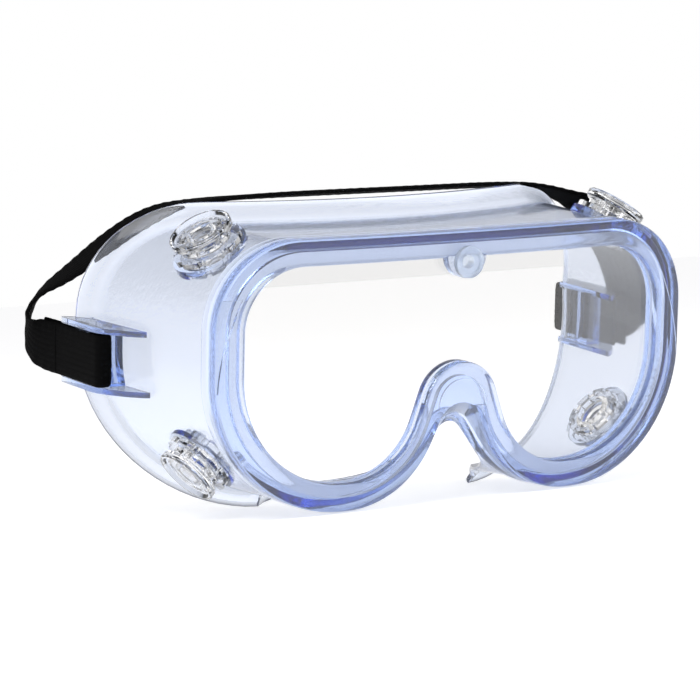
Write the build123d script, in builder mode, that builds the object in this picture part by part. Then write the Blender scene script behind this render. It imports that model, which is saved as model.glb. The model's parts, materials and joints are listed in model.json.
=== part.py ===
"""Indirect-vent safety goggles: soft one-piece body, snap-in lens, four button vents, elastic headband.

Local sizes are (x, depth, up): x to the right seen from the front, depth back from the lens rim, up along
the rim. The lens leans forward so that the rim and the lower edge of the face seal both touch the table.
"""

import os
from dataclasses import dataclass, fields
from math import acos, atan2, cos, hypot, radians, sin, sqrt

from build123d import *

os.makedirs("parts", exist_ok=True)

# ---------------------------------------------------------------- place and attitude
LEAN = 9.3  # degrees the lens leans forward
RIM_CENTRE_Y = -35.044  # row-frame place of the rim's front centre
RIM_CENTRE_Z = 39.028

# ---------------------------------------------------------------- front
FRONT_RADIUS = 770.0  # the front is rolled about a vertical axis behind it
RIM_DEPTH = 9.0
LIP = 3.0  # soft lip in front of the lens
LENS_THICK = 2.0
LENS_EDGE = 4.0  # how far the lens runs into its groove
GROOVE_GAP = 0.1
BACK_LIP = 2.4
WALL = 2.0

# ---------------------------------------------------------------- face seal
HEAD_RADIUS = 158.0  # roundness of the face, seen from above
HEAD_DEPTH = 48.0  # depth of the seal at the middle of the brow
SEAL_THICK = 2.2
NOSE_HALF, NOSE_FRONT = 19.0, 11.5  # the web over the nose is this wide and ends this far back
NOSE_CHEEK, NOSE_REAR = 38.0, 72.0  # the nose cut opens to this half-width at the cheeks
NOSE_CEILING = -4.0

# ---------------------------------------------------------------- headband and its lugs
BAND_WIDTH = 15.0
BAND_THICK = 1.4
LUG_DEPTH = 64.5  # middle of the upright bar
LUG_UP = -0.4
LUG_HALF_GAP = 7.9
LUG_PLATE = 1.6
LUG_REACH = 90.9
BAR_WIDTH = 6.0
BAR_INNER, BAR_OUTER = 88.2, 90.2

# ---------------------------------------------------------------- vents
VENT_HOLE = 6.05
VENT_TUBE = 6.0
VENT_WALL = 2.6
VENT_LOBES = 8
VENT_PAD = 11.2
VENT_SLOPE = -0.07  # the walls widen towards the face
UPPER_VENT, LOWER_VENT = (28.0, 58.0), (29.5, -42.0)  # depth, and degrees round the corner
POCKET_OUT, POCKET_IN = 10.8, 8.8
POCKET_HIGH, POCKET_DEEP = 9.0, 6.0


@dataclass
class Outline:
    """Sizes of the goggle-shaped outline: one wide top, two cheek lobes and a nose arch."""

    half: float
    top: float
    bottom: float
    corner: float
    lobe: float
    cheek_x: float
    cheek: float
    nose_top: float
    nose: float

    def grown(self, by):
        return Outline(
            self.half + by,
            self.top + by,
            self.bottom - by,
            self.corner + by,
            self.lobe + by,
            self.cheek_x,
            self.cheek + by,
            self.nose_top - by,
            self.nose - by,
        )


OPENING = Outline(70.4, 31.2, -31.4, 18.0, 31.8, 37.0, 24.0, 0.9, 12.2)
RIM = Outline(79.6, 39.0, -39.7, 25.5, 40.0, 38.0, 38.0, -17.5, 4.5)
WALL_BACK = Outline(85.2, 38.5, -46.0, 26.0, 48.0, 36.0, 27.0, -14.0, 8.0)
SEAL = Outline(87.2, 43.0, -47.9, 32.0, 50.0, 37.0, 26.0, -12.0, 10.0)
WALL_FRONT = RIM.grown(-1.5)
WALL_FRONT_DEPTH, WALL_BACK_DEPTH = 6.0, 84.0

# ---------------------------------------------------------------- reach of the cutting tools
AHEAD = 20.0
FRONT_SPAN = (-2.0, 20.0)  # depths that hold the whole rolled front
SEAL_SPAN = (20.0, 90.0)
HALF_TALL = 70.0
FRONT_REACH, FACE_REACH, FACE_FAR = 120.0, 110.0, 200.0

# ---------------------------------------------------------------- planes
BACK = Vector(0, cos(radians(LEAN)), sin(radians(LEAN)))
UP = Vector(0, -sin(radians(LEAN)), cos(radians(LEAN)))
ORIGIN = Vector(0, RIM_CENTRE_Y, RIM_CENTRE_Z)
FRONT = Plane(ORIGIN, x_dir=(1, 0, 0), z_dir=-BACK)
PLAN = Plane(ORIGIN, x_dir=(1, 0, 0), z_dir=UP)


def at(x, depth, up):
    """Row-frame point of a local (x, depth, up)."""
    return ORIGIN + Vector(x, 0, 0) + BACK * depth + UP * up


def along(x, depth, up):
    """Row-frame direction of a local one."""
    return (Vector(x, 0, 0) + BACK * depth + UP * up).normalized()


def section(depth):
    return FRONT.offset(-depth)


# ---------------------------------------------------------------- outlines
def arc_point(centre, radius, degrees):
    return (centre[0] + radius * cos(radians(degrees)), centre[1] + radius * sin(radians(degrees)))


def goggle_face(s):
    """Draws the outline s as a face in the open sketch."""
    corner = (s.half - s.corner, s.top - s.corner)
    lobe = (s.half - s.lobe, s.bottom + s.lobe)
    cheek = (s.cheek_x, s.bottom + s.cheek)
    nose = (0, s.nose_top - s.nose)
    rise = cheek[1] - nose[1]
    tilt = (atan2(rise, cheek[0]) + acos((s.nose + s.cheek) / hypot(cheek[0], rise))) / radians(1)
    flank_top = arc_point(nose, s.nose, tilt)
    flank_foot = arc_point(cheek, -s.cheek, tilt)
    with BuildLine() as edge:
        Line((0, s.top), (corner[0], s.top))
        ThreePointArc((corner[0], s.top), arc_point(corner, s.corner, 45), (s.half, corner[1]))
        Line((s.half, corner[1]), (s.half, lobe[1]))
        ThreePointArc((s.half, lobe[1]), arc_point(lobe, s.lobe, -45), (lobe[0], s.bottom))
        Line((lobe[0], s.bottom), (cheek[0], s.bottom))
        ThreePointArc((cheek[0], s.bottom), arc_point(cheek, s.cheek, (tilt - 270) / 2), flank_foot)
        Line(flank_foot, flank_top)
        ThreePointArc(flank_top, arc_point(nose, s.nose, (tilt + 90) / 2), (0, s.nose_top))
        mirror(about=Plane.YZ)
    make_face(edge.edges())


def prism(s, start, end):
    with BuildPart() as made:
        with BuildSketch(section(end)):
            goggle_face(s)
        extrude(amount=end - start)
    return made.part


def tube(front, front_depth, back, back_depth):
    with BuildPart() as made:
        with BuildSketch(section(front_depth)):
            goggle_face(front)
        with BuildSketch(section(back_depth)):
            goggle_face(back)
        loft()
    return made.part


def rolled(depth):
    """Depth at the sides of a front surface that is `depth` at the middle."""
    return FRONT_REACH, depth + FRONT_RADIUS - sqrt(FRONT_RADIUS**2 - FRONT_REACH**2)


def front_slab(start, end):
    """The space between two rolled front surfaces."""
    reach, start_side = rolled(start)
    end_side = rolled(end)[1]
    with BuildPart() as made:
        with BuildSketch(PLAN.offset(-HALF_TALL)):
            with BuildLine():
                ThreePointArc((-reach, start_side), (0, start), (reach, start_side))
                Line((reach, start_side), (reach, end_side))
                ThreePointArc((reach, end_side), (0, end), (-reach, end_side))
                Line((-reach, end_side), (-reach, start_side))
            make_face()
        extrude(amount=2 * HALF_TALL)
    return made.part


def face_side(radius, reach):
    return HEAD_DEPTH + HEAD_RADIUS - sqrt(radius**2 - reach**2)


def head_slab(thick):
    """The layer `thick` mm deep in front of the face."""
    reach = FACE_REACH
    side = face_side(HEAD_RADIUS, reach)
    front_side = face_side(HEAD_RADIUS + thick, reach)
    with BuildPart() as made:
        with BuildSketch(PLAN.offset(-HALF_TALL)):
            with BuildLine():
                ThreePointArc((-reach, side), (0, HEAD_DEPTH), (reach, side))
                Line((reach, side), (reach, front_side))
                ThreePointArc((reach, front_side), (0, HEAD_DEPTH - thick), (-reach, front_side))
                Line((-reach, front_side), (-reach, side))
            make_face()
        extrude(amount=2 * HALF_TALL)
    return made.part


def head_room():
    """Everything behind the face."""
    reach, far = FACE_REACH, FACE_FAR
    side = face_side(HEAD_RADIUS, reach)
    with BuildPart() as made:
        with BuildSketch(PLAN.offset(-HALF_TALL)):
            with BuildLine():
                ThreePointArc((-reach, side), (0, HEAD_DEPTH), (reach, side))
                Polyline((reach, side), (reach, far), (-reach, far), (-reach, side))
            make_face()
        extrude(amount=2 * HALF_TALL)
    return made.part


def nose_room():
    """The bridge of the nose, which the body and its seal leave free."""
    half = [(NOSE_HALF, NOSE_FRONT), (NOSE_CHEEK, NOSE_REAR)]
    with BuildPart() as made:
        with BuildSketch(PLAN.offset(-HALF_TALL)):
            with BuildLine():
                Polyline(*half, *[(-x, depth) for x, depth in reversed(half)], close=True)
            make_face()
        extrude(amount=HALF_TALL + NOSE_CEILING)
    return made.part


# ---------------------------------------------------------------- vent places
def blend(a, b, share):
    return a + (b - a) * share


def wall_outline(depth):
    share = (depth - WALL_FRONT_DEPTH) / (WALL_BACK_DEPTH - WALL_FRONT_DEPTH)
    names = [field.name for field in fields(Outline)]
    return Outline(*(blend(getattr(WALL_FRONT, name), getattr(WALL_BACK, name), share) for name in names))


def vent_plane(side, upper):
    """Plane on the outside of the wall at one corner; its z axis leaves the body."""
    depth, angle = UPPER_VENT if upper else LOWER_VENT
    s = wall_outline(depth)
    radius = s.corner if upper else s.lobe
    centre = (s.half - radius, s.top - radius) if upper else (s.half - radius, s.bottom + radius)
    x, up = arc_point(centre, radius, angle)
    turn = radians(angle)
    out = along(side * cos(turn), VENT_SLOPE, sin(turn))
    return Plane(at(side * x, depth, up), x_dir=along(side * sin(turn), 0, -cos(turn)), z_dir=out)


VENTS = {
    "upper_left": vent_plane(-1, True),
    "upper_right": vent_plane(1, True),
    "lower_left": vent_plane(-1, False),
    "lower_right": vent_plane(1, False),
}

# ---------------------------------------------------------------- tools for the body
outer_wall = tube(WALL_FRONT, WALL_FRONT_DEPTH, WALL_BACK, WALL_BACK_DEPTH)
inner_wall = tube(WALL_FRONT.grown(-WALL), WALL_FRONT_DEPTH, WALL_BACK.grown(-WALL), WALL_BACK_DEPTH)
front_solid = front_slab(-AHEAD, LIP + LENS_THICK + BACK_LIP)
cavity = inner_wall - front_solid
rim = prism(RIM, *FRONT_SPAN) & front_slab(0, RIM_DEPTH)
groove = prism(OPENING.grown(LENS_EDGE + GROOVE_GAP), *FRONT_SPAN) & front_slab(
    LIP - GROOVE_GAP, LIP + LENS_THICK + GROOVE_GAP
)
behind_face = head_room()
seal = prism(SEAL, *SEAL_SPAN) & head_slab(SEAL_THICK)


def mirrored(side, points):
    return [(side * x, depth) for x, depth in points]


PLATE_PLAN = [(80.9, 44.0), (83.6, 46.0), (88.2, 50.0), (LUG_REACH, 55.0), (LUG_REACH, 80.0), (83.2, 80.0)]
WEB_PLAN = [(81.4, 53.0), (86.3, 53.0), (86.3, 58.6), (81.9, 58.6)]
RIB_PLAN = [(82.2, 60.5), (84.9, 60.5), (84.9, 65.0), (82.6, 65.0)]
BAR_PLAN = [
    (BAR_INNER, LUG_DEPTH - BAR_WIDTH / 2),
    (BAR_OUTER, LUG_DEPTH - BAR_WIDTH / 2),
    (BAR_OUTER, LUG_DEPTH + BAR_WIDTH / 2),
    (BAR_INNER, LUG_DEPTH + BAR_WIDTH / 2),
]

# ---------------------------------------------------------------- goggle body
BUTTON_UP = 30.0
TAB_UP, TAB_RADIUS = 31.7, 6.5
STUD_HOLE, STUD = 2.0, 1.95
RECESS_UP, RECESS_RADIUS, RECESS_DEEP = -12.0, 8.2, 0.9

with BuildPart() as goggle_body:
    add(outer_wall)
    add(rim)
    for side in (-1, 1):
        for start in (LUG_UP + LUG_HALF_GAP, LUG_UP - LUG_HALF_GAP - LUG_PLATE):
            with BuildSketch(PLAN.offset(start)):
                with BuildLine() as plate:
                    Polyline(*mirrored(side, PLATE_PLAN), close=True)
                make_face()
            extrude(amount=LUG_PLATE)
        for plan in (WEB_PLAN, RIB_PLAN, BAR_PLAN):
            with BuildSketch(PLAN.offset(LUG_UP - LUG_HALF_GAP)):
                with BuildLine():
                    Polyline(*mirrored(side, plan), close=True)
                make_face()
            extrude(amount=2 * LUG_HALF_GAP)
    add(front_slab(-AHEAD, 0), mode=Mode.SUBTRACT)
    add(behind_face, mode=Mode.SUBTRACT)
    add(seal)
    add(cavity, mode=Mode.SUBTRACT)
    add(groove, mode=Mode.SUBTRACT)
    add(prism(OPENING, *FRONT_SPAN), mode=Mode.SUBTRACT)
    add(nose_room(), mode=Mode.SUBTRACT)
    with BuildSketch(section(LIP - GROOVE_GAP)):
        with Locations((0, TAB_UP)):
            Circle(TAB_RADIUS)
    extrude(amount=LIP - 2 * GROOVE_GAP)
    with BuildSketch(section(LIP)):
        with Locations((0, BUTTON_UP)):
            Circle(STUD_HOLE)
    extrude(amount=LIP + 2, mode=Mode.SUBTRACT)
    with BuildSketch(section(RECESS_DEEP)):
        with Locations((0, RECESS_UP)):
            Circle(RECESS_RADIUS)
        with Locations((0, RECESS_UP - 2 * RECESS_RADIUS)):
            Rectangle(4 * RECESS_RADIUS, 4 * RECESS_RADIUS, mode=Mode.SUBTRACT)
    extrude(amount=RECESS_DEEP + 2, mode=Mode.SUBTRACT)
    for place in VENTS.values():
        with BuildSketch(place):
            Circle(VENT_PAD)
        extrude(amount=-VENT_WALL)
        with BuildSketch(place):
            Circle(POCKET_OUT)
        extrude(amount=POCKET_HIGH, mode=Mode.SUBTRACT)
        with BuildSketch(place.offset(-VENT_WALL)):
            Circle(POCKET_IN)
        extrude(amount=-POCKET_DEEP, mode=Mode.SUBTRACT)
        with BuildSketch(place):
            Circle(VENT_HOLE)
        extrude(amount=-POCKET_DEEP, mode=Mode.SUBTRACT)
goggle_body.part.label = "goggle_body"
export_step(goggle_body.part, "parts/goggle_body.step")

# ---------------------------------------------------------------- lens and its stud
with BuildPart() as lens:
    add(prism(OPENING.grown(LENS_EDGE), *FRONT_SPAN))
    add(front_slab(LIP, LIP + LENS_THICK), mode=Mode.INTERSECT)
    with BuildSketch(section(LIP + LENS_THICK + 1)):
        with Locations((0, BUTTON_UP)):
            Circle(STUD_HOLE)
    extrude(amount=LENS_THICK + 3, mode=Mode.SUBTRACT)
lens.part.label = "lens"
export_step(lens.part, "parts/lens.step")

STUD_HEAD, STUD_HEAD_THICK, STUD_DISH = 4.6, 1.6, 3.4
with BuildPart() as lens_stud:
    with BuildSketch(section(-0.1)):
        with Locations((0, BUTTON_UP)):
            Circle(STUD_HEAD)
    extrude(amount=STUD_HEAD_THICK)
    with BuildSketch(section(LIP + LENS_THICK)):
        with Locations((0, BUTTON_UP)):
            Circle(STUD)
    extrude(amount=LIP + LENS_THICK + 0.2)
    with BuildSketch(section(-1.2)):
        with Locations((0, BUTTON_UP)):
            Circle(STUD_DISH)
    extrude(amount=1, mode=Mode.SUBTRACT)
lens_stud.part.label = "lens_stud"
export_step(lens_stud.part, "parts/lens_stud.step")

# ---------------------------------------------------------------- vents
CAP_HALF_SECTION = [
    (0, 4.7),
    (3.0, 4.7),
    (3.0, -2.0),
    (4.55, -2.0),
    (4.55, 4.7),
    (6.3, 4.7),
    (6.3, 2.0),
    (7.6, 2.0),
    (7.6, 4.3),
    (8.8, 4.3),
    (9.3, 4.8),
    (9.3, 6.5),
    (8.9, 6.9),
    (8.3, 6.9),
    (7.5, 5.8),
    (0, 5.8),
]
CAP_SLOT_LOW, CAP_SLOT_HIGH = 2.4, 1.7  # air slots through the cap's skirt
SEAT_FLANGE, SEAT_FLANGE_THICK, SEAT_NOTCH = 10.2, 1.8, 1.3
SEAT_BORE, SEAT_RING, SEAT_RING_THICK = 4.6, 8.2, 2.6
SEAT_GAP = 0.1

for name, place in VENTS.items():
    with BuildPart() as vent_cap:
        with BuildSketch(Plane(place.origin, x_dir=place.x_dir, z_dir=-place.y_dir)):
            with BuildLine():
                Polyline(*CAP_HALF_SECTION, close=True)
            make_face()
        revolve(axis=Axis(place.origin, place.z_dir))
        with BuildSketch(place.offset(CAP_SLOT_LOW)):
            with PolarLocations(7.0, VENT_LOBES):
                Rectangle(3.0, 2.4)
        extrude(amount=CAP_SLOT_HIGH, mode=Mode.SUBTRACT)
    vent_cap.part.label = "vent_cap_" + name
    export_step(vent_cap.part, f"parts/vent_cap_{name}.step")

    with BuildPart() as vent_seat:
        with BuildSketch(place.offset(SEAT_GAP)):
            Circle(SEAT_FLANGE)
            with PolarLocations(SEAT_FLANGE + 0.4, VENT_LOBES):
                Circle(SEAT_NOTCH, mode=Mode.SUBTRACT)
        extrude(amount=SEAT_FLANGE_THICK)
        with BuildSketch(place.offset(SEAT_GAP)):
            Circle(VENT_TUBE)
        extrude(amount=-(VENT_WALL + 2 * SEAT_GAP))
        with BuildSketch(place.offset(-VENT_WALL - SEAT_GAP)):
            Circle(SEAT_RING)
            with PolarLocations(SEAT_RING, VENT_LOBES):
                Rectangle(3.0, 1.8, mode=Mode.SUBTRACT)
        extrude(amount=-SEAT_RING_THICK)
        with BuildSketch(place.offset(3)):
            Circle(SEAT_BORE)
        extrude(amount=-12, mode=Mode.SUBTRACT)
    vent_seat.part.label = "vent_seat_" + name
    export_step(vent_seat.part, f"parts/vent_seat_{name}.step")

# ---------------------------------------------------------------- headband, threaded round the lug bars
INNER_RUN, OUTER_RUN = 87.2, 91.2
SEAL_RUN = 88.3  # the inner layer steps out past the seal
LEFT_FOLD, LEFT_TAIL = 51.0, 88.0
RIGHT_FOLD, RIGHT_TAIL = 81.5, 46.5
LOOP_END_LEFT, LOOP_END_RIGHT = 80.0, 46.5
FOLD_RADIUS = 1.3

left_path = [
    (SEAL_RUN + 1.0, LEFT_TAIL),
    (SEAL_RUN, 71.5),
    (INNER_RUN, 68.0),
    (INNER_RUN, LEFT_FOLD),
    (OUTER_RUN, LEFT_FOLD),
    (OUTER_RUN, LOOP_END_LEFT),
]
right_path = [
    (INNER_RUN, RIGHT_TAIL),
    (INNER_RUN, 68.0),
    (SEAL_RUN, 71.5),
    (SEAL_RUN, RIGHT_FOLD),
    (OUTER_RUN, RIGHT_FOLD),
    (OUTER_RUN, LOOP_END_RIGHT),
]
for name, side, path in (("left", -1, left_path), ("right", 1, right_path)):
    with BuildPart() as loop:
        with BuildSketch(PLAN.offset(LUG_UP - BAND_WIDTH / 2)):
            with BuildLine():
                FilletPolyline(*mirrored(side, path), radius=FOLD_RADIUS)
            trace(line_width=BAND_THICK)
        extrude(amount=BAND_WIDTH)
    loop.part.label = "headband_loop_" + name
    export_step(loop.part, f"parts/headband_loop_{name}.step")

# Free band, lug to lug over the top of the seal: each station is a place and the way its width runs
BAND_STATIONS = [
    ((-93.2, 80.4, -0.4), (0.00, 0.00, 1.00)),
    ((-94.0, 86.0, 0.2), (-0.05, -0.30, 0.95)),
    ((-94.2, 90.0, 3.6), (-0.30, -0.70, 0.60)),
    ((-93.4, 91.2, 8.5), (-0.50, -0.85, 0.15)),
    ((-90.0, 90.0, 14.5), (-0.52, -0.85, 0.00)),
    ((-83.5, 86.0, 22.5), (-0.45, -0.85, -0.20)),
    ((-74.5, 79.5, 31.5), (-0.35, -0.88, -0.30)),
    ((-64.5, 73.0, 37.2), (-0.25, -0.93, -0.20)),
    ((-52.0, 69.0, 41.9), (-0.08, -0.98, 0.12)),
    ((-26.0, 65.8, 43.0), (0.00, -0.98, 0.17)),
    ((0.0, 65.0, 43.0), (0.00, -0.98, 0.17)),
    ((26.0, 64.8, 42.8), (0.00, -0.98, 0.17)),
    ((50.0, 66.0, 43.2), (0.03, -0.98, 0.17)),
    ((66.0, 64.0, 43.2), (0.08, -0.98, 0.12)),
    ((79.5, 57.0, 38.4), (0.30, -0.95, 0.00)),
    ((89.0, 47.5, 28.0), (0.65, -0.65, 0.35)),
    ((92.5, 42.5, 17.5), (0.80, -0.58, 0.10)),
    ((94.2, 39.6, 8.5), (0.60, -0.72, -0.30)),
    ((93.8, 40.5, 1.6), (0.20, -0.55, -0.80)),
    ((93.2, 46.0, -0.4), (0.00, 0.00, -1.00)),
]
places = [at(*place) for place, _ in BAND_STATIONS]
headings = [along(0, 1, 0)]
headings += [(after - before).normalized() for before, after in zip(places, places[2:])]
headings += [along(0, 1, 0)]
with BuildPart() as headband:
    for place, heading, (_, width) in zip(places, headings, BAND_STATIONS):
        with BuildSketch(Plane(place, x_dir=along(*width), z_dir=heading)):
            Rectangle(BAND_WIDTH, BAND_THICK)
    loft(ruled=True)
headband.part.label = "headband"
export_step(headband.part, "parts/headband.step")
length = sum((b - a).length for a, b in zip(places, places[1:]))
share = headband.part.volume / (length * BAND_WIDTH * BAND_THICK)
print(f"free headband length {length:.0f} mm, volume over section times length {share:.3f}")
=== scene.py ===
"""Safety goggles: soft blue body, clear lens and vents, black elastic headband, on a pale floor."""

import json
from math import acos, atan2, cos, hypot, pi, radians, sin

import bmesh
import bpy
import numpy as np
from mathutils import Matrix, Vector


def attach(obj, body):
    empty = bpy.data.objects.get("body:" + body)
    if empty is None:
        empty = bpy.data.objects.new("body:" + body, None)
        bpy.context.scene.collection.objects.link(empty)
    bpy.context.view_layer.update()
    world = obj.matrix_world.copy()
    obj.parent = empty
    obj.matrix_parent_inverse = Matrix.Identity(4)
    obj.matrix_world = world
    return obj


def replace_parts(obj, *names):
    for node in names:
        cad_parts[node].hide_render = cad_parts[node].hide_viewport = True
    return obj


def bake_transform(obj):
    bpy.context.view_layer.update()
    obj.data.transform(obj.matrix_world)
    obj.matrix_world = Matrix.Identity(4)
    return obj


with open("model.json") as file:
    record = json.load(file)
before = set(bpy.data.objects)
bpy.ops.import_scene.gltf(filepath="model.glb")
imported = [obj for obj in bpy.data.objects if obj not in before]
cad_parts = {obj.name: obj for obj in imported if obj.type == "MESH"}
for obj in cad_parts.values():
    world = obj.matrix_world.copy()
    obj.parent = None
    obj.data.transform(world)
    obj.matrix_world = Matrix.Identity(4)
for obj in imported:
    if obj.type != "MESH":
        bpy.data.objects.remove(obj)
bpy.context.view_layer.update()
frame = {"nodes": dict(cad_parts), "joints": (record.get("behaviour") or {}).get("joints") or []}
scene = bpy.context.scene
MM = 0.001

# ---------------------------------------------------------------- local frame, as in the CAD model
LEAN = radians(9.3)
RIM_CENTRE = Vector((0, -35.044, 39.028))
BACK = Vector((0, cos(LEAN), sin(LEAN)))
UP = Vector((0, -sin(LEAN), cos(LEAN)))
AXES = np.array([(1, 0, 0), BACK, UP])


def at(x, depth, up):
    """Row-frame point, in metres, of a local (x, depth, up) in millimetres."""
    return (RIM_CENTRE + Vector((x, 0, 0)) + BACK * depth + UP * up) * MM


def along(x, depth, up):
    """Row-frame direction of a local one."""
    return (Vector((x, 0, 0)) + BACK * depth + UP * up).normalized()


def at_all(points):
    """Row-frame points of an array of local ones."""
    return (np.array(RIM_CENTRE) + np.asarray(points) @ AXES) * MM


# ---------------------------------------------------------------- camera
CAMERA_AZIMUTH, CAMERA_RISE, CAMERA_ROLL = radians(-33.891), radians(10.023), radians(1.527)
CAMERA_DISTANCE = 1000.0
SENSOR, FOCAL = 36.0, 179.8
AIM_RIGHT, AIM_UP = -0.0328, 0.0044  # tangents of the aim off the rim centre


def add_camera():
    """The camera looks at the rim's centre from its left side, aimed a little off it for the framing."""
    across, ahead = sin(CAMERA_AZIMUTH) * cos(CAMERA_RISE), cos(CAMERA_AZIMUTH) * cos(CAMERA_RISE)
    toward = Vector((across, -ahead, sin(CAMERA_RISE)))
    level = Vector((cos(CAMERA_AZIMUTH), sin(CAMERA_AZIMUTH), 0))
    rise = toward.cross(level)
    right = level * cos(CAMERA_ROLL) + rise * sin(CAMERA_ROLL)
    up = rise * cos(CAMERA_ROLL) - level * sin(CAMERA_ROLL)
    aim = toward - right * AIM_RIGHT - up * AIM_UP
    out = aim.normalized()
    right = up.cross(out).normalized()
    up = out.cross(right)
    turn = Matrix([along(*right), along(*up), along(*out)]).transposed()
    data = bpy.data.cameras.new("camera")
    data.sensor_width, data.lens = SENSOR, FOCAL
    camera = bpy.data.objects.new("camera", data)
    scene.collection.objects.link(camera)
    camera.matrix_world = Matrix.Translation(at(*(toward * CAMERA_DISTANCE))) @ turn.to_4x4()
    scene.camera = camera


add_camera()


# ---------------------------------------------------------------- mesh helpers
def add_mesh(name, vertices, faces, material=None, smooth=True):
    mesh = bpy.data.meshes.new(name)
    mesh.from_pydata([tuple(v) for v in vertices], [], [tuple(f) for f in faces])
    mesh.update()
    obj = bpy.data.objects.new(name, mesh)
    scene.collection.objects.link(obj)
    if material:
        mesh.materials.append(material)
    if smooth:
        mesh.shade_smooth()
    return obj


def ring_faces(rings, around, closed=False):
    """Quads between rings of `around` points each."""
    faces = []
    for i in range(rings if closed else rings - 1):
        here, there = i * around, (i + 1) % rings * around
        for j in range(around):
            k = (j + 1) % around
            faces.append((here + j, here + k, there + k, there + j))
    return faces


def outward(obj):
    """Turns every face of a closed mesh to the outside."""
    bm = bmesh.new()
    bm.from_mesh(obj.data)
    bmesh.ops.recalc_face_normals(bm, faces=bm.faces)
    bm.to_mesh(obj.data)
    bm.free()


def joined(name, parts):
    """One object of several closed meshes, given as (vertices, faces)."""
    vertices, faces = [], []
    for points, polygons in parts:
        start = len(vertices)
        vertices += [tuple(p) for p in points]
        faces += [tuple(start + i for i in f) for f in polygons]
    obj = add_mesh(name, vertices, faces, smooth=False)
    outward(obj)
    return obj


def boolean(obj, other, operation):
    """Applies a boolean with another object, which is then deleted."""
    modifier = obj.modifiers.new("boolean", "BOOLEAN")
    modifier.object, modifier.operation, modifier.solver = other, operation, "EXACT"
    modifier.use_self = operation == "UNION"
    mesh = bpy.data.meshes.new_from_object(obj.evaluated_get(bpy.context.evaluated_depsgraph_get()))
    obj.modifiers.clear()
    obj.data = mesh
    bpy.data.objects.remove(other)


# ---------------------------------------------------------------- goggle outlines
HALF, TOP, BOTTOM, CORNER, LOBE, CHEEK_X, CHEEK, NOSE_TOP, NOSE = range(9)
GROWTH = np.array([1, 1, -1, 1, 1, 0, 1, -1, -1], float)
OPENING = np.array([70.4, 31.2, -31.4, 18.0, 31.8, 37.0, 24.0, 0.9, 12.2])
FACE = np.array([79.4, 38.8, -39.4, 25.3, 39.8, 38.0, 30.8, -11.0, 8.0])
RIM = np.array([79.6, 39.0, -39.7, 25.5, 40.0, 38.0, 38.0, -17.5, 4.5])
WALL_BACK = np.array([85.2, 38.5, -46.0, 26.0, 48.0, 36.0, 27.0, -14.0, 8.0])
SEAL = np.array([87.2, 43.0, -47.9, 32.0, 50.0, 37.0, 26.0, -12.0, 10.0])
SEGMENTS = (14, 16, 6, 20, 2, 16, 10, 12)  # along each stretch of half an outline


def grown(s, by):
    return s + GROWTH * by


def arc(centre, radius, start, end, count):
    angle = np.linspace(start, end, count + 1)[:-1]
    return np.c_[centre[0] + radius * np.cos(angle), centre[1] + radius * np.sin(angle)]


def line(start, end, count):
    share = np.linspace(0, 1, count + 1)[:-1, None]
    return np.array(start) * (1 - share) + np.array(end) * share


def outline(s):
    """Points (x, up) round the goggle outline s, always as many and in the same order."""
    corner = (s[HALF] - s[CORNER], s[TOP] - s[CORNER])
    lobe = (s[HALF] - s[LOBE], s[BOTTOM] + s[LOBE])
    cheek = (s[CHEEK_X], s[BOTTOM] + s[CHEEK])
    nose = (0, s[NOSE_TOP] - s[NOSE])
    rise = cheek[1] - nose[1]
    tilt = atan2(rise, cheek[0]) + acos(min(1, (s[NOSE] + s[CHEEK]) / hypot(cheek[0], rise)))
    foot = (cheek[0] - s[CHEEK] * cos(tilt), cheek[1] - s[CHEEK] * sin(tilt))
    crown = (nose[0] + s[NOSE] * cos(tilt), nose[1] + s[NOSE] * sin(tilt))
    half = np.vstack([
        line((0, s[TOP]), (corner[0], s[TOP]), SEGMENTS[0]),
        arc(corner, s[CORNER], pi / 2, 0, SEGMENTS[1]),
        line((s[HALF], corner[1]), (s[HALF], lobe[1]), SEGMENTS[2]),
        arc(lobe, s[LOBE], 0, -pi / 2, SEGMENTS[3]),
        line((lobe[0], s[BOTTOM]), (cheek[0], s[BOTTOM]), SEGMENTS[4]),
        arc(cheek, s[CHEEK], -pi / 2, tilt - pi, SEGMENTS[5]),
        line(foot, crown, SEGMENTS[6]),
        arc(nose, s[NOSE], tilt, pi / 2, SEGMENTS[7]),
        [(0, s[NOSE_TOP])],
    ])
    return np.vstack([half, half[-2:0:-1] * (-1, 1)])


# ---------------------------------------------------------------- body shell
FRONT_RADIUS, HEAD_RADIUS, HEAD_DEPTH = 770.0, 158.0, 48.0
LIP, LENS_THICK, BACK_LIP, LENS_EDGE, GAP = 3.0, 2.0, 2.4, 4.0, 0.1
RIM_DEPTH, WALL_THICK = 9.0, 2.0
WALL_FRONT = grown(RIM, -1.5)
WALL_FRONT_DEPTH, WALL_BACK_DEPTH = 6.0, 84.0
CREASE = 7.0  # the seal flares out this far before its edge
SEAL_THICK = 2.2
SEAL_SOFTENING = 24  # passes that even out the seal's edge at the nose
SHELL_SHARP = radians(34)
FLARE_START, FLARE_RUN = 44.0, 9.0  # depths over which the lower seal turns out from the wall
NOSE_HALF, NOSE_FRONT, NOSE_CHEEK, NOSE_REAR, NOSE_CEILING = 19.0, 12.5, 38.0, 72.0, -4.0


def roll(x):
    """How far the rolled front lies behind its middle."""
    return FRONT_RADIUS - np.sqrt(FRONT_RADIUS**2 - x**2)


def seal_depth(points):
    """Depth of the face seal: the face's own curve, cut away over the bridge of the nose."""
    x, up = points.T
    face = HEAD_DEPTH + HEAD_RADIUS - np.sqrt(HEAD_RADIUS**2 - x**2)
    beyond = np.clip(np.abs(x) - NOSE_HALF, 0, None)
    nose = NOSE_FRONT + beyond * (NOSE_REAR - NOSE_FRONT) / (NOSE_CHEEK - NOSE_HALF)
    return np.where(up < NOSE_CEILING, np.minimum(face, nose), face)


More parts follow.
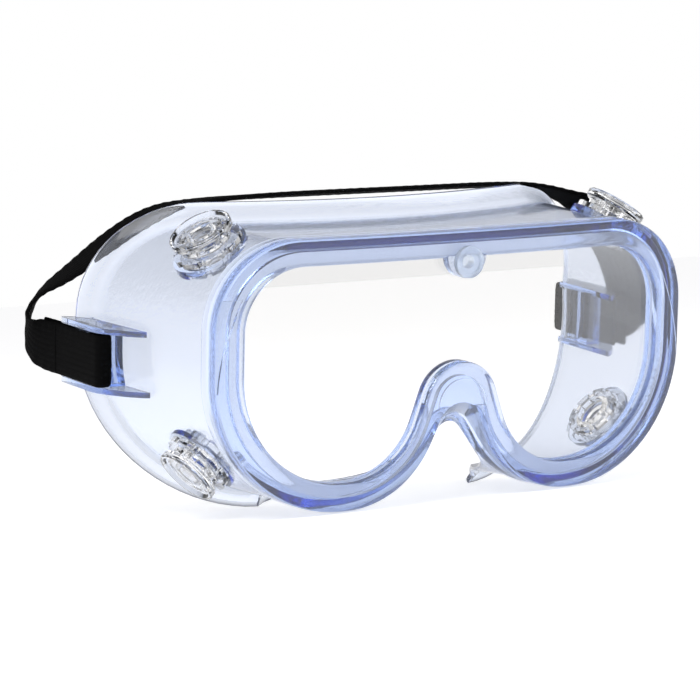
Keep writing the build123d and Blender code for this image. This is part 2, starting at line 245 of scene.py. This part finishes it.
def soften(values, times):
    """Evens out a value round the outline."""
    for _ in range(times):
        values = (np.roll(values, 1) + 2 * values + np.roll(values, -1)) / 4
    return values


def level(s, depth):
    """An outline on the rolled front, `depth` behind its face."""
    points = outline(s)
    return np.c_[points[:, 0], roll(points[:, 0]) + depth, points[:, 1]]


def mix(a, b, share):
    return a + (b - a) * share


def wall_ring(share, inset, seal_edge):
    """A ring on the wall, from just behind the rim (0) to the crease of the seal (1)."""
    front, back = outline(grown(WALL_FRONT, -inset)), outline(grown(WALL_BACK, -inset))
    start = RIM_DEPTH + 0.3 if inset == 0 else LIP + LENS_THICK + BACK_LIP + 0.8
    depth = np.full(len(front), 30.0)
    first = roll(front[:, 0]) + start
    last = seal_edge - np.minimum(CREASE, 0.45 * (seal_edge - first))
    for _ in range(4):
        reached = (depth - WALL_FRONT_DEPTH) / (WALL_BACK_DEPTH - WALL_FRONT_DEPTH)
        points = front + (back - front) * reached[:, None]
        depth = first + (last - first) * share
    return np.c_[points[:, 0], depth, points[:, 1]]


def edge_ring(inset, back, seal_edge):
    """A ring on the seal's edge; the seal flares out from the wall, except over the nose."""
    front, rear = outline(grown(WALL_FRONT, -inset)), outline(grown(WALL_BACK, -inset))
    depth = seal_edge - back
    share = (depth - WALL_FRONT_DEPTH) / (WALL_BACK_DEPTH - WALL_FRONT_DEPTH)
    wall = front + (rear - front) * share[:, None]
    flare = np.where(wall[:, 1] < 0, np.clip((seal_edge - FLARE_START) / FLARE_RUN, 0, 1), 1)[:, None]
    points = wall + (outline(grown(SEAL, -inset)) - wall) * flare
    return np.c_[points[:, 0], depth, points[:, 1]]


def shell_rings():
    """Closed section of the body, ring by ring: groove, lip, rim, wall, seal and back along the inside."""
    front_lip = [(4.1, 5.1), (4.1, 4.0), (4.1, 2.9), (2.0, 2.9), (0.3, 2.9), (0, 2.6), (0, 1.2)]
    front_lip += [(0.2, 0.55), (0.7, 0.15), (1.6, 0.0)]
    rings = [level(grown(OPENING, by), depth) for by, depth in front_lip]
    rings += [level(mix(grown(OPENING, 1.6), grown(FACE, -1.2), share), 0) for share in (0.3, 0.6, 0.85, 1)]
    rings += [level(grown(FACE, -0.45), 0.2), level(grown(FACE, -0.1), 0.65), level(FACE, 1.2)]
    rings += [level(mix(FACE, RIM, share), 1.2 + 6.3 * share) for share in (0.25, 0.5, 0.75, 1)]
    rings += [level(grown(RIM, by), depth) for by, depth in ((-0.15, 8.4), (-0.6, 8.85), (-1.3, 9.05))]

    seal = outline(SEAL)
    edge = soften(seal_depth(seal), SEAL_SOFTENING)
    shares = (0, 0.04, 0.1, 0.18, 0.28, 0.38, 0.48, 0.58, 0.68, 0.78, 0.87, 0.94, 1)
    rings += [wall_ring(share, 0, edge) for share in shares]
    crease = rings[-1]
    rim_line = edge_ring(0, SEAL_THICK * 0.5, edge)
    for share in (0.2, 0.45, 0.7, 0.9, 1):
        flare = share**1.6
        ring = crease + (rim_line - crease) * np.array([flare, share, flare])
        rings.append(ring)
    seal_round = ((0.25, 0.35), (0.7, 0.05), (1.3, 0.05), (1.9, 0.4))
    rings += [edge_ring(inset, back, edge) for inset, back in seal_round]
    inner_start = rings[-1]
    inner_crease = wall_ring(1, WALL_THICK, edge)
    for share in (0.3, 0.65, 1):
        flare = 1 - (1 - share) ** 1.6
        rings.append(inner_start + (inner_crease - inner_start) * np.array([flare, share, flare]))
    rings += [wall_ring(share, WALL_THICK, edge) for share in shares[-2::-1]]
    back = LIP + LENS_THICK + BACK_LIP
    inner_front = grown(WALL_FRONT, -WALL_THICK)
    rings += [level(grown(inner_front, -0.5), back + 0.15), level(grown(inner_front, -1.4), back)]
    lip_foot = grown(OPENING, 1.0)
    rings += [level(mix(grown(inner_front, -1.4), lip_foot, share), back) for share in (0.5, 1)]
    rings += [level(grown(OPENING, 0.3), back - 0.25), level(OPENING, back - 0.8), level(OPENING, 5.5)]
    rings += [level(grown(OPENING, 0.3), 5.1), level(grown(OPENING, 2.2), 5.1)]
    return rings


def prism_faces(count):
    """Two ends and the sides between them, for two rings of `count` points."""
    faces = [tuple(range(count)), tuple(range(count, 2 * count))]
    faces += [(i, (i + 1) % count, count + (i + 1) % count, count + i) for i in range(count)]
    return faces


def prism(points, low, high):
    """A prism along up of a plan (x, depth), as (vertices, faces)."""
    count = len(points)
    vertices = [place for up in (low, high) for place in at_all([(x, depth, up) for x, depth in points])]
    return vertices, prism_faces(count)


def post(points, near, far):
    """A prism along depth of a front view (x, up)."""
    count = len(points)
    vertices = [place for depth in (near, far) for place in at_all([(x, depth, up) for x, up in points])]
    return vertices, prism_faces(count)


def disc(centre, axis, radius, low, high, count=64):
    """A cylinder between two heights along an axis; centre in metres, sizes in millimetres."""
    side = axis.orthogonal().normalized()
    other = axis.cross(side)
    vertices = []
    for height in (low, high):
        for i in range(count):
            angle = 2 * pi * i / count
            spoke = side * cos(angle) + other * sin(angle)
            vertices.append(centre + (spoke * radius + axis * height) * MM)
    return vertices, prism_faces(count)


LUG_UP, LUG_HALF_GAP, LUG_PLATE, LUG_REACH = -0.4, 7.9, 1.6, 90.9
LUG_OVERLAP = 0.2  # web, rib and bar run this far into the plates
PLATE_PLAN = [(80.3, 40.0), (82.4, 41.5), (85.6, 44.8), (88.2, 49.0), (90.2, 53.0), (LUG_REACH, 56.5)]
PLATE_PLAN += [(LUG_REACH, 74.0), (90.3, 76.0), (88.6, 75.2), (82.2, 70.8)]
WEB_PLAN = [(81.4, 53.0), (86.3, 53.0), (86.3, 58.6), (81.9, 58.6)]
RIB_PLAN = [(82.2, 60.5), (84.9, 60.5), (84.9, 65.0), (82.6, 65.0)]
BAR_PLAN = [(88.2, 62.1), (88.8, 61.5), (89.6, 61.5), (90.2, 62.1)]
BAR_PLAN += [(90.2, 66.9), (89.6, 67.5), (88.8, 67.5), (88.2, 66.9)]
TAB_UP, TAB_RADIUS, BUTTON_UP, STUD_HOLE = 31.7, 6.5, 30.0, 2.0
RECESS_UP, RECESS_RADIUS, RECESS_DEEP = -12.0, 8.2, 0.9
VENT_PAD, VENT_WALL, VENT_HOLE, POCKET_OUT, POCKET_IN = 11.2, 2.6, 6.05, 10.8, 8.8
POCKET_HIGH, POCKET_DEEP = 9, 6
VENTS = {j["name"]: j for j in frame["joints"] if j["name"].startswith("vent_")}


def mirrored(side, points):
    return [(side * x, y) for x, y in points]


def arc_points(centre, radius, start, end, count):
    return [tuple(p) for p in arc(centre, radius, radians(start), radians(end), count)]


GRIP_TOP, GRIP_TALL, GRIP_INNER, GRIP_TAPER = 23.0, 26.0, 71.4, 7.2
GRIP_OUTER, GRIP_DEEP, GRIP_AHEAD, GRIP_ROWS = 84.0, 0.75, -3, 16


def finger_recess(side):
    """Shallow crescent pressed into the outer half of the rim's face."""
    rows = []
    for i in range(GRIP_ROWS + 1):
        share = i / GRIP_ROWS
        up = GRIP_TOP - GRIP_TALL * share
        inner = GRIP_INNER + GRIP_TAPER * (1 - (1 - share) ** 1.8)
        rows.append((up, inner))
    vertices, faces = [], []
    for up, inner in rows:
        for x in (inner, (inner + GRIP_OUTER) / 2, GRIP_OUTER):
            sunk = float(roll(np.array(x))) + GRIP_DEEP
            vertices += [at(side * x, sunk, up), at(side * x, GRIP_AHEAD, up)]
    for i in range(GRIP_ROWS):
        a, b = i * 6, i * 6 + 6
        faces += [(a, a + 2, b + 2, b), (a + 2, a + 4, b + 4, b + 2), (a + 1, b + 1, b + 3, a + 3)]
        faces += [(a + 3, b + 3, b + 5, a + 5), (a, b, b + 1, a + 1), (a + 4, a + 5, b + 5, b + 4)]
    last = GRIP_ROWS * 6
    faces += [(0, 1, 3, 2), (2, 3, 5, 4)]
    faces += [(last, last + 2, last + 3, last + 1), (last + 2, last + 4, last + 5, last + 3)]
    return vertices, faces


def body_shell(material):
    rings = shell_rings()
    around = len(rings[0])
    shell = add_mesh("goggle_shell", at_all(np.vstack(rings)), ring_faces(len(rings), around, closed=True))
    outward(shell)
    adds, hollows, pockets, holes = [], [], [], []
    for side in (-1, 1):
        for low in (LUG_UP + LUG_HALF_GAP, LUG_UP - LUG_HALF_GAP - LUG_PLATE):
            adds.append(prism(mirrored(side, PLATE_PLAN), low, low + LUG_PLATE))
        for plan in (WEB_PLAN, RIB_PLAN, BAR_PLAN):
            half_tall = LUG_HALF_GAP + LUG_OVERLAP
            adds.append(prism(mirrored(side, plan), LUG_UP - half_tall, LUG_UP + half_tall))
        hollows.append(finger_recess(side))
    adds.append(disc(at(0, 0, TAB_UP), -BACK, TAB_RADIUS, -LIP + GAP, -GAP))
    for vent in VENTS.values():
        centre, axis = Vector(vent["pos_m"]), Vector(vent["axis"])
        adds.append(disc(centre, axis, VENT_PAD, -VENT_WALL, 0))
        hollows.append(disc(centre, axis, POCKET_OUT, 0, POCKET_HIGH))
        pockets.append(disc(centre, axis, POCKET_IN, -VENT_WALL - POCKET_DEEP, -VENT_WALL))
        holes.append(disc(centre, axis, VENT_HOLE, -VENT_WALL - 1, 1))
    holes.append(disc(at(0, 0, BUTTON_UP), BACK, STUD_HOLE, -2, 8))
    crescent = arc_points((0, RECESS_UP), RECESS_RADIUS, 0, 180, 40) + [(-RECESS_RADIUS, RECESS_UP)]
    hollows.append(post(crescent, -2, RECESS_DEEP))
    boolean(shell, joined("adds", adds), "UNION")
    for cuts in (hollows, pockets, holes):
        boolean(shell, joined("cuts", cuts), "DIFFERENCE")
    shell.data.materials.clear()
    shell.data.materials.append(material)
    shell.data.shade_smooth()
    shell.data.set_sharp_from_angle(angle=SHELL_SHARP)
    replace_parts(shell, "goggle_body")
    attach(shell, "frame")


# ---------------------------------------------------------------- headband
BAND_WIDTH, BAND_THICK = 15.0, 1.4
BAND_STATIONS = [
    ((-91.3, 76.5, -0.4), (0.00, 0.00, 1.00)),
    ((-92.2, 82.5, -0.4), (-0.02, -0.10, 1.00)),
    ((-93.4, 87.0, 0.8), (-0.05, -0.35, 0.93)),
    ((-94.0, 90.0, 4.0), (-0.30, -0.70, 0.60)),
    ((-93.4, 91.2, 8.5), (-0.50, -0.85, 0.15)),
    ((-90.0, 90.0, 14.5), (-0.52, -0.85, 0.00)),
    ((-83.5, 86.0, 19.5), (-0.45, -0.85, -0.20)),
    ((-74.5, 79.5, 28.5), (-0.35, -0.88, -0.30)),
    ((-64.5, 73.0, 36.8), (-0.25, -0.93, -0.20)),
    ((-52.0, 69.0, 41.7), (-0.08, -0.98, 0.12)),
    ((-26.0, 65.8, 42.5), (0.00, -0.98, 0.17)),
    ((0.0, 65.0, 42.4), (0.00, -0.98, 0.17)),
    ((26.0, 64.8, 42.2), (0.00, -0.98, 0.17)),
    ((50.0, 65.8, 41.9), (0.03, -0.98, 0.17)),
    ((66.0, 64.0, 41.4), (0.08, -0.98, 0.12)),
    ((79.5, 58.0, 36.6), (0.30, -0.95, 0.00)),
    ((88.6, 51.5, 28.0), (0.65, -0.65, 0.35)),
    ((92.3, 48.5, 17.5), (0.80, -0.58, 0.10)),
    ((93.8, 47.0, 8.5), (0.60, -0.72, -0.30)),
    ((93.0, 49.0, 1.4), (0.20, -0.55, -0.80)),
    ((91.3, 55.5, -0.4), (0.00, 0.00, -1.00)),
]
RIBS = 9  # woven ribs across the band
BAND_SHARP = radians(60)
STEPS = 14  # points of the smooth line between two stations


def smooth_line(points, steps):
    """Points along the NURBS spline that has these control points."""
    curve = bpy.data.curves.new("line", "CURVE")
    curve.dimensions, curve.resolution_u = "3D", steps
    spline = curve.splines.new("NURBS")
    spline.points.add(len(points) - 1)
    for point, place in zip(spline.points, points):
        point.co = (*place, 1)
    spline.order_u = 3
    spline.use_endpoint_u = True
    obj = bpy.data.objects.new("line", curve)
    scene.collection.objects.link(obj)
    mesh = bpy.data.meshes.new_from_object(obj.evaluated_get(bpy.context.evaluated_depsgraph_get()))
    found = np.array([v.co for v in mesh.vertices])
    bpy.data.objects.remove(obj)
    return found


def band_section(width, thick, ribs):
    """Half-width and half-thickness round the band's ribbed section."""
    across = np.linspace(-1, 1, 8 * ribs + 1)
    rounding = np.sqrt(np.clip(1 - np.abs(across) ** 8, 0, 1))
    bulge = rounding * (0.86 + 0.14 * np.abs(np.cos(across * pi * ribs / 2)))
    top = np.c_[across * width / 2, bulge * thick / 2]
    return np.vstack([top, top[-2:0:-1] * (1, -1)])


def ribbon(name, places, widths, thick, material, wave=0.0):
    """A ribbed flat band along places (metres), its width along widths."""
    heading = np.gradient(places, axis=0)
    heading /= np.linalg.norm(heading, axis=1)[:, None]
    widths = widths - heading * (widths * heading).sum(1)[:, None]
    widths /= np.linalg.norm(widths, axis=1)[:, None]
    normal = np.cross(heading, widths)
    run = np.r_[0, np.cumsum(np.linalg.norm(np.diff(places, axis=0), axis=1))] / MM
    section = band_section(BAND_WIDTH, thick, RIBS)
    rings = []
    for place, width, out, s in zip(places, widths, normal, run):
        crimp = wave * sin(s * 1.9) * (section[:, 0] / (BAND_WIDTH / 2)) ** 2
        offset = section[:, 0, None] * width + (section[:, 1] + crimp)[:, None] * out
        rings.append(place + offset * MM)
    around = len(section)
    faces = ring_faces(len(rings), around)
    last = (len(rings) - 1) * around
    faces += [tuple(range(around - 1, -1, -1)), tuple(range(last, last + around))]
    obj = add_mesh(name, np.vstack(rings), faces, material)
    outward(obj)
    obj.data.set_sharp_from_angle(angle=BAND_SHARP)
    return obj


def headband(material):
    places = smooth_line([at(*place) for place, _ in BAND_STATIONS], STEPS)
    widths = smooth_line([along(*width) for _, width in BAND_STATIONS], STEPS)
    band = ribbon("headband_webbing", places, widths, BAND_THICK + 0.15, material, wave=0.12)
    length = float(np.linalg.norm(np.diff(places, axis=0), axis=1).sum())
    print(f"headband: {length / MM:.0f} mm free")
    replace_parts(band, "headband")
    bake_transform(band)


# ---------------------------------------------------------------- materials
def new_material(name):
    material = bpy.data.materials.new(name)
    material.use_nodes = True
    nodes = material.node_tree.nodes
    return material, nodes, material.node_tree.links, nodes["Principled BSDF"]


def soft_vinyl():
    """Blue-tinted clear PVC: the colour is in its depth, so thin walls are pale and edges deep."""
    material, nodes, links, shader = new_material("soft_vinyl")
    shader.inputs["Base Color"].default_value = (0.96, 0.97, 1.0, 1)
    shader.inputs["Transmission Weight"].default_value = 0.93
    shader.inputs["IOR"].default_value = 1.45
    noise = nodes.new("ShaderNodeTexNoise")
    noise.inputs["Scale"].default_value = 40
    noise.inputs["Detail"].default_value = 3
    spread = nodes.new("ShaderNodeMapRange")
    spread.inputs["To Min"].default_value = 0.05
    spread.inputs["To Max"].default_value = 0.12
    links.new(noise.outputs["Fac"], spread.inputs["Value"])
    links.new(spread.outputs["Result"], shader.inputs["Roughness"])
    bump = nodes.new("ShaderNodeBump")
    bump.inputs["Strength"].default_value = 0.03
    bump.inputs["Distance"].default_value = 0.0006
    links.new(noise.outputs["Fac"], bump.inputs["Height"])
    links.new(bump.outputs["Normal"], shader.inputs["Normal"])
    depth = nodes.new("ShaderNodeVolumeAbsorption")
    depth.inputs["Color"].default_value = (0.083, 0.383, 0.917, 1)
    depth.inputs["Density"].default_value = 84
    links.new(depth.outputs["Volume"], nodes["Material Output"].inputs["Volume"])
    return material


def clear_plastic(name, colour, roughness, transmission=1.0):
    material, nodes, links, shader = new_material(name)
    shader.inputs["Base Color"].default_value = (*colour, 1)
    shader.inputs["Transmission Weight"].default_value = transmission
    shader.inputs["IOR"].default_value = 1.5
    noise = nodes.new("ShaderNodeTexNoise")
    noise.inputs["Scale"].default_value = 140
    spread = nodes.new("ShaderNodeMapRange")
    spread.inputs["To Min"].default_value = roughness
    spread.inputs["To Max"].default_value = roughness * 2
    links.new(noise.outputs["Fac"], spread.inputs["Value"])
    links.new(spread.outputs["Result"], shader.inputs["Roughness"])
    return material


def elastic():
    """Black woven elastic: fine weft across the moulded ribs."""
    material, nodes, links, shader = new_material("black_elastic")
    weave = nodes.new("ShaderNodeTexNoise")
    weave.inputs["Scale"].default_value = 900
    weave.inputs["Detail"].default_value = 4
    tint = nodes.new("ShaderNodeValToRGB")
    tint.color_ramp.elements[0].color = (0.0005, 0.0005, 0.0006, 1)
    tint.color_ramp.elements[1].color = (0.003, 0.003, 0.0033, 1)
    links.new(weave.outputs["Fac"], tint.inputs["Fac"])
    links.new(tint.outputs["Color"], shader.inputs["Base Color"])
    shader.inputs["Roughness"].default_value = 0.85
    shader.inputs["Specular IOR Level"].default_value = 0.06
    shader.inputs["Sheen Weight"].default_value = 0.0
    shader.inputs["Sheen Roughness"].default_value = 0.5
    bump = nodes.new("ShaderNodeBump")
    bump.inputs["Strength"].default_value = 0.5
    bump.inputs["Distance"].default_value = 0.0003
    links.new(weave.outputs["Fac"], bump.inputs["Height"])
    links.new(bump.outputs["Normal"], shader.inputs["Normal"])
    return material


vinyl = soft_vinyl()
black = elastic()
headband(black)


# ---------------------------------------------------------------- threaded ends of the headband
INNER_RUN, OUTER_RUN, SEAL_RUN = 87.2, 91.2, 88.3
FOLD = 1.3
LEFT_PLAN = [(89.3, 88.0), (SEAL_RUN, 71.5), (INNER_RUN, 68.0)]
LEFT_PLAN += [(INNER_RUN, 51.0), (OUTER_RUN, 51.0), (OUTER_RUN, 80.0)]
RIGHT_PLAN = [(INNER_RUN, 46.5), (INNER_RUN, 68.0), (SEAL_RUN, 71.5)]
RIGHT_PLAN += [(SEAL_RUN, 81.5), (OUTER_RUN, 81.5), (OUTER_RUN, 46.5)]


def rounded(points, radius, steps=8):
    """A polyline with its corners turned by arcs, in the plan (x, depth)."""
    points = [np.array(p, float) for p in points]
    out = [points[0]]
    for before, corner, after in zip(points, points[1:], points[2:]):
        a, b = before - corner, after - corner
        a, b = a / np.linalg.norm(a), b / np.linalg.norm(b)
        half = acos(max(-1, min(1, float(a @ b)))) / 2
        reach = radius / np.tan(half)
        start, end = corner + a * reach, corner + b * reach
        centre = corner + (a + b) / np.linalg.norm(a + b) * radius / sin(half)
        first, last = start - centre, end - centre
        turn = acos(max(-1, min(1, float(first @ last) / radius**2)))
        for i in range(steps + 1):
            share = i / steps
            if turn < 1e-4:
                out.append(start + (end - start) * share)
            else:
                out.append(centre + (first * sin((1 - share) * turn) + last * sin(share * turn)) / sin(turn))
    out.append(points[-1])
    return out


def threaded_end(name, side, plan):
    line_points = rounded(plan, FOLD)
    dense = [line_points[0]]
    for a, b in zip(line_points, line_points[1:]):
        count = max(1, int(np.linalg.norm(b - a)))
        dense += [a + (b - a) * (i + 1) / count for i in range(count)]
    places = at_all([(side * x, depth, LUG_UP) for x, depth in dense])
    widths = np.tile(np.array(UP), (len(places), 1))
    piece = ribbon(name, places, widths, BAND_THICK, black, wave=0.06)
    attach(piece, "frame")
    return piece


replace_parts(threaded_end("headband_end_left", -1, LEFT_PLAN), "headband_loop_left")
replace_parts(threaded_end("headband_end_right", 1, RIGHT_PLAN), "headband_loop_right")
body_shell(vinyl)

# ---------------------------------------------------------------- clear parts of the CAD model
lens_clear = clear_plastic("lens_polycarbonate", (0.97, 0.965, 0.955), 0.0)
vent_clear = clear_plastic("vent_plastic", (0.98, 0.98, 0.98), 0.03)
stud_clear = clear_plastic("stud_plastic", (0.80, 0.87, 0.98), 0.15, 0.75)


def dress(node, material):
    obj = frame["nodes"][node]
    obj.data.materials.clear()
    obj.data.materials.append(material)


for node in frame["nodes"]:
    if node.startswith("vent_"):
        dress(node, vent_clear)
dress("lens", lens_clear)
dress("lens_stud", stud_clear)


# ---------------------------------------------------------------- studio
def add_area(name, place, target, size, power):
    light = bpy.data.lights.new(name, "AREA")
    light.size, light.energy = size, power
    obj = bpy.data.objects.new(name, light)
    scene.collection.objects.link(obj)
    obj.location = place
    obj.rotation_euler = (Vector(target) - Vector(place)).to_track_quat("-Z", "Y").to_euler()


def studio():
    """White surroundings that darken overhead, so that the clear parts have something to reflect."""
    world = bpy.data.worlds.new("studio")
    scene.world = world
    world.use_nodes = True
    nodes, links = world.node_tree.nodes, world.node_tree.links
    sky = nodes["Background"]
    place = nodes.new("ShaderNodeTexCoord")
    axes = nodes.new("ShaderNodeSeparateXYZ")
    ramp = nodes.new("ShaderNodeValToRGB")
    ramp.color_ramp.elements[0].position, ramp.color_ramp.elements[0].color = 0.12, (0.85, 0.85, 0.855, 1)
    ramp.color_ramp.elements[1].position, ramp.color_ramp.elements[1].color = 0.55, (0.34, 0.34, 0.35, 1)
    links.new(place.outputs["Generated"], axes.inputs["Vector"])
    links.new(axes.outputs["Z"], ramp.inputs["Fac"])
    seen = nodes.new("ShaderNodeLightPath")
    white = nodes.new("ShaderNodeMix")
    white.data_type = "RGBA"
    white.inputs[7].default_value = (1, 1, 1, 1)
    links.new(seen.outputs["Is Camera Ray"], white.inputs["Factor"])
    links.new(ramp.outputs["Color"], white.inputs[6])
    links.new(white.outputs[2], sky.inputs["Color"])
    material, nodes, links, shader = new_material("floor")
    shader.inputs["Base Color"].default_value = (0.9, 0.9, 0.9, 1)
    shader.inputs["Roughness"].default_value = 0.9
    shader.inputs["Specular IOR Level"].default_value = 0.1
    shader.inputs["Emission Color"].default_value = (1, 1, 1, 1)
    shader.inputs["Emission Strength"].default_value = 0.58
    floor = add_mesh("floor", [(-4, -4, 0), (4, -4, 0), (4, 4, 0), (-4, 4, 0)], [(0, 1, 2, 3)], material)
    add_area("key", (-0.7, -0.5, 1.0), (0, 0, 0.04), 0.8, 8)
    add_area("fill", (0.9, -0.6, 0.7), (0, 0, 0.04), 0.9, 4)
    scene.view_settings.view_transform = "Standard"


studio()
